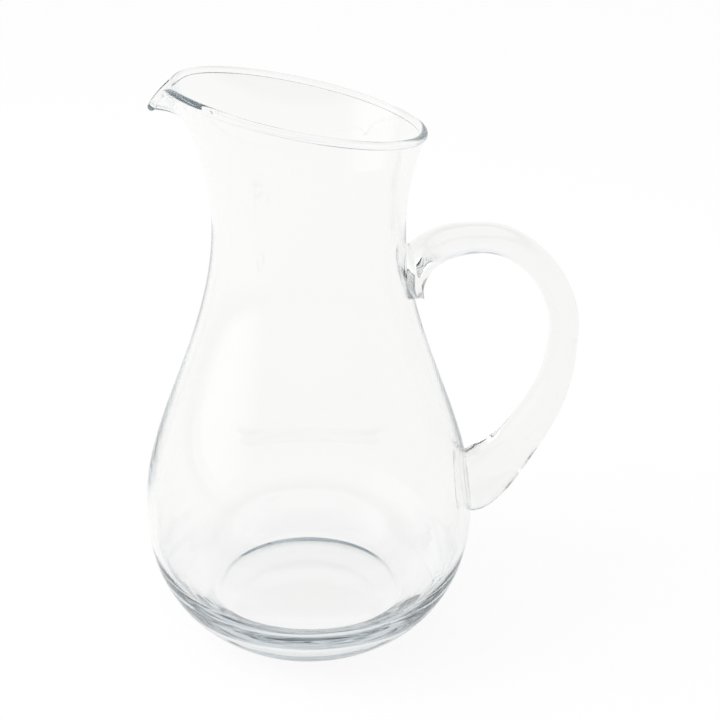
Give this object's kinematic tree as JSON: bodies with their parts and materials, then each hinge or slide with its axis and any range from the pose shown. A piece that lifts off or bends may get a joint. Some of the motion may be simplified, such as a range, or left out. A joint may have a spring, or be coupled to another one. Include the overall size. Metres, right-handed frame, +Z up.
{
  "type": "glass pitcher",
  "caption": "Clear glass pitcher with a round belly on a heavy floor, a drawn-in neck, a slanted mouth with a pulled pouring lip, and a solid fused loop handle.",
  "frame": {"origin": "centre of the standing ring, at the level of the table", "axes": "+Z up along the axis of the body, +X from the axis to the handle, so the pouring lip points to -X"},
  "size_m": [0.1804, 0.14, 0.2339],
  "materials": {
    "body_glass": "clear polished blown glass",
    "handle_glass": "clear polished solid glass"
  },
  "bodies": {
    "root": {"vessel": "body_glass", "handle": "handle_glass"}
  },
  "joints": []
}
